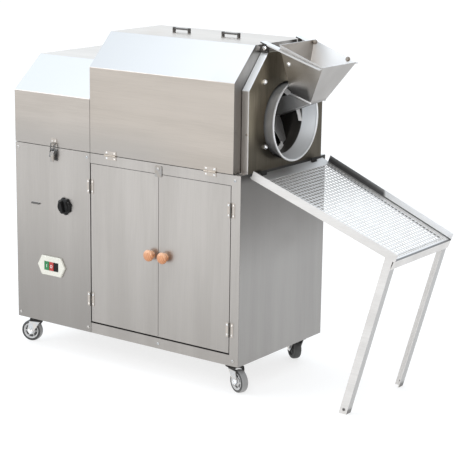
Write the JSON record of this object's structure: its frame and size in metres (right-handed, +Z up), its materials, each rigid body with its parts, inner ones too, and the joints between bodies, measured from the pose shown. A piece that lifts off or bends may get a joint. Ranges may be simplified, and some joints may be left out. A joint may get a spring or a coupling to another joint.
{
  "type": "electric drum roaster",
  "caption": "Floor-standing electric drum roaster: steel cabinet on casters, hinged hood over a turning drum, feed hopper, sloping perforated discharge tray on legs.",
  "frame": {"origin": "on the floor under the middle of the bounding box", "axes": "+X to the right, from the drive side to the discharge tray; +Y from the front with the doors to the back; +Z up"},
  "size_m": [1.3772, 0.493, 1.045],
  "materials": {
    "stainless": "brushed stainless sheet",
    "pale_steel": "pale brushed stainless",
    "end_steel": "stainless that mirrors a dark room",
    "drum_steel": "heat-toned rolled steel",
    "machined_steel": "turned steel",
    "plated_steel": "bright plating",
    "cast_iron": "plain casting",
    "motor_paint": "grey-blue paint",
    "rubber": "black rubber",
    "insulation": "fibre blanket",
    "black_plastic": "black moulding",
    "grey_plastic": "grey moulding",
    "white_plastic": "off-white moulding",
    "green_plastic": "green moulding",
    "red_plastic": "red moulding",
    "wood": "varnished turned wood"
  },
  "bodies": {
    "cabinet": {"base_pan": "stainless", "corner_posts": "stainless", "control_panel": "stainless", "front_frame": "stainless", "left_side_panel": "stainless", "right_side_panel": "stainless", "back_panel": "stainless", "deck_plate": "stainless", "partition_wall": "stainless", "drive_bulkhead": "motor_paint", "end_bulkhead": "end_steel", "drum_trough": "stainless", "trough_insulation": "insulation", "heater_rods": "machined_steel", "drum_bearing": "cast_iron", "roller_axles": "machined_steel", "gear_motor": "motor_paint", "drive_belt": "rubber", "control_housings": "black_plastic", "switch_bezel": "white_plastic", "terminal_box": "grey_plastic", "cable_gland": "black_plastic", "hopper": "stainless", "hopper_bars": "pale_steel", "latch_base": "plated_steel", "caster_plates": "plated_steel", "cabinet_screws": "plated_steel", "fixed_hinge_leaves": "plated_steel"},
    "drum": {"drum_shell": "drum_steel", "drum_mouth": "drum_steel", "drum_flights": "drum_steel", "drum_shaft": "machined_steel", "drum_pulley": "cast_iron"},
    "motor_shaft": {"motor_pulley": "cast_iron"},
    "front_roller": {"front_support_roller": "machined_steel"},
    "rear_roller": {"rear_support_roller": "machined_steel"},
    "hood": {"roasting_hood": "stainless", "hood_fittings": "plated_steel"},
    "cover": {"drive_cover": "stainless", "cover_fittings": "plated_steel"},
    "lever": {"latch_lever": "plated_steel"},
    "bail": {"latch_bail": "plated_steel"},
    "left_leaf": {"left_door": "stainless", "left_knob": "wood"},
    "right_leaf": {"right_door": "stainless", "right_knob": "wood"},
    "door_button": {"turn_button": "plated_steel"},
    "dial": {"thermostat_knob": "black_plastic"},
    "start_key": {"start_button": "green_plastic"},
    "stop_key": {"stop_button": "red_plastic"},
    "tray": {"tray_frame": "pale_steel", "tray_mesh": "pale_steel"},
    "front_left_swivel": {"front_left_fork": "plated_steel"},
    "front_left_roll": {"front_left_wheel": "rubber"},
    "front_right_swivel": {"front_right_fork": "plated_steel"},
    "front_right_roll": {"front_right_wheel": "rubber"},
    "rear_right_swivel": {"rear_right_fork": "plated_steel"},
    "rear_right_roll": {"rear_right_wheel": "rubber"},
    "rear_left_swivel": {"rear_left_fork": "plated_steel"},
    "rear_left_roll": {"rear_left_wheel": "rubber"}
  },
  "joints": [
    {"name": "drum_spin", "type": "hinge", "parent": "cabinet", "child": "drum", "pos_m": [-0.32124, 0.0035, 0.803], "axis": [1, 0, 0], "continuous": true},
    {"name": "motor_spin", "type": "hinge", "parent": "cabinet", "child": "motor_shaft", "pos_m": [-0.40074, 0.0035, 0.226], "axis": [1, 0, 0], "continuous": true},
    {"name": "front_roller_spin", "type": "hinge", "parent": "cabinet", "child": "front_roller", "pos_m": [0.18126, -0.10369, 0.73602], "axis": [1, 0, 0], "continuous": true},
    {"name": "rear_roller_spin", "type": "hinge", "parent": "cabinet", "child": "rear_roller", "pos_m": [0.18126, 0.11069, 0.73602], "axis": [1, 0, 0], "continuous": true},
    {"name": "hood_swing", "type": "hinge", "parent": "cabinet", "child": "hood", "pos_m": [-0.36124, -0.2243, 0.667], "axis": [1, 0, 0], "range_deg": [0, 90]},
    {"name": "cover_lift", "type": "hinge", "parent": "cabinet", "child": "cover", "pos_m": [-0.51824, 0.2313, 0.667], "axis": [-1, 0, 0], "range_deg": [0, 100]},
    {"name": "latch_throw", "type": "hinge", "parent": "cabinet", "child": "lever", "pos_m": [-0.50874, -0.2275, 0.652], "axis": [-1, 0, 0], "range_deg": [0, 120]},
    {"name": "bail_swing", "type": "hinge", "parent": "lever", "child": "bail", "pos_m": [-0.50874, -0.2327, 0.64], "axis": [-1, 0, 0], "range_deg": [-120, 0]},
    {"name": "left_door_swing", "type": "hinge", "parent": "cabinet", "child": "left_leaf", "pos_m": [-0.36124, -0.2243, 0.129], "axis": [0, 0, -1], "range_deg": [0, 120]},
    {"name": "right_door_swing", "type": "hinge", "parent": "cabinet", "child": "right_leaf", "pos_m": [0.17426, -0.2243, 0.129], "axis": [0, 0, 1], "range_deg": [0, 120]},
    {"name": "turn_button_turn", "type": "hinge", "parent": "cabinet", "child": "door_button", "pos_m": [-0.09349, -0.2215, 0.6505], "axis": [0, 1, 0], "range_deg": [0, 90]},
    {"name": "thermostat_turn", "type": "hinge", "parent": "cabinet", "child": "dial", "pos_m": [-0.46674, -0.2215, 0.484], "axis": [0, 1, 0], "range_deg": [0, 300]},
    {"name": "start_press", "type": "slide", "parent": "cabinet", "child": "start_key", "axis": [0, 1, 0], "range_m": [0, 0.004], "stiffness_N_per_m": 400},
    {"name": "stop_press", "type": "slide", "parent": "cabinet", "child": "stop_key", "axis": [0, 1, 0], "range_m": [0, 0.004], "stiffness_N_per_m": 400},
    {"name": "tray_tilt", "type": "hinge", "parent": "cabinet", "child": "tray", "pos_m": [0.21726, 0.0125, 0.656], "axis": [0, -1, 0], "range_deg": [0, 40]},
    {"name": "front_left_swivel_turn", "type": "hinge", "parent": "cabinet", "child": "front_left_swivel", "pos_m": [-0.62374, -0.1715, 0.079], "axis": [0, 0, 1], "continuous": true},
    {"name": "front_left_wheel_roll", "type": "hinge", "parent": "front_left_swivel", "child": "front_left_roll", "pos_m": [-0.65258, -0.17977, 0.035], "axis": [0.2756, -0.9613, 0], "continuous": true},
    {"name": "front_right_swivel_turn", "type": "hinge", "parent": "cabinet", "child": "front_right_swivel", "pos_m": [0.15626, -0.1715, 0.079], "axis": [0, 0, 1], "continuous": true},
    {"name": "front_right_wheel_roll", "type": "hinge", "parent": "front_right_swivel", "child": "front_right_roll", "pos_m": [0.18427, -0.18225, 0.035], "axis": [0.3584, 0.9336, 0], "continuous": true},
    {"name": "rear_right_swivel_turn", "type": "hinge", "parent": "cabinet", "child": "rear_right_swivel", "pos_m": [0.15626, 0.1785, 0.079], "axis": [0, 0, 1], "continuous": true},
    {"name": "rear_right_wheel_roll", "type": "hinge", "parent": "rear_right_swivel", "child": "rear_right_roll", "pos_m": [0.1311, 0.19484, 0.035], "axis": [-0.5446, -0.8387, 0], "continuous": true},
    {"name": "rear_left_swivel_turn", "type": "hinge", "parent": "cabinet", "child": "rear_left_swivel", "pos_m": [-0.62374, 0.1785, 0.079], "axis": [0, 0, 1], "continuous": true},
    {"name": "rear_left_wheel_roll", "type": "hinge", "parent": "rear_left_swivel", "child": "rear_left_roll", "pos_m": [-0.65023, 0.19258, 0.035], "axis": [-0.4695, -0.8829, 0], "continuous": true}
  ],
  "couplings": [
    {"joint": "motor_spin", "follows": "drum_spin", "ratio": 2.7778},
    {"joint": "front_roller_spin", "follows": "drum_spin", "ratio": -5},
    {"joint": "rear_roller_spin", "follows": "drum_spin", "ratio": -5},
    {"joint": "bail_swing", "follows": "latch_throw", "ratio": -1}
  ]
}
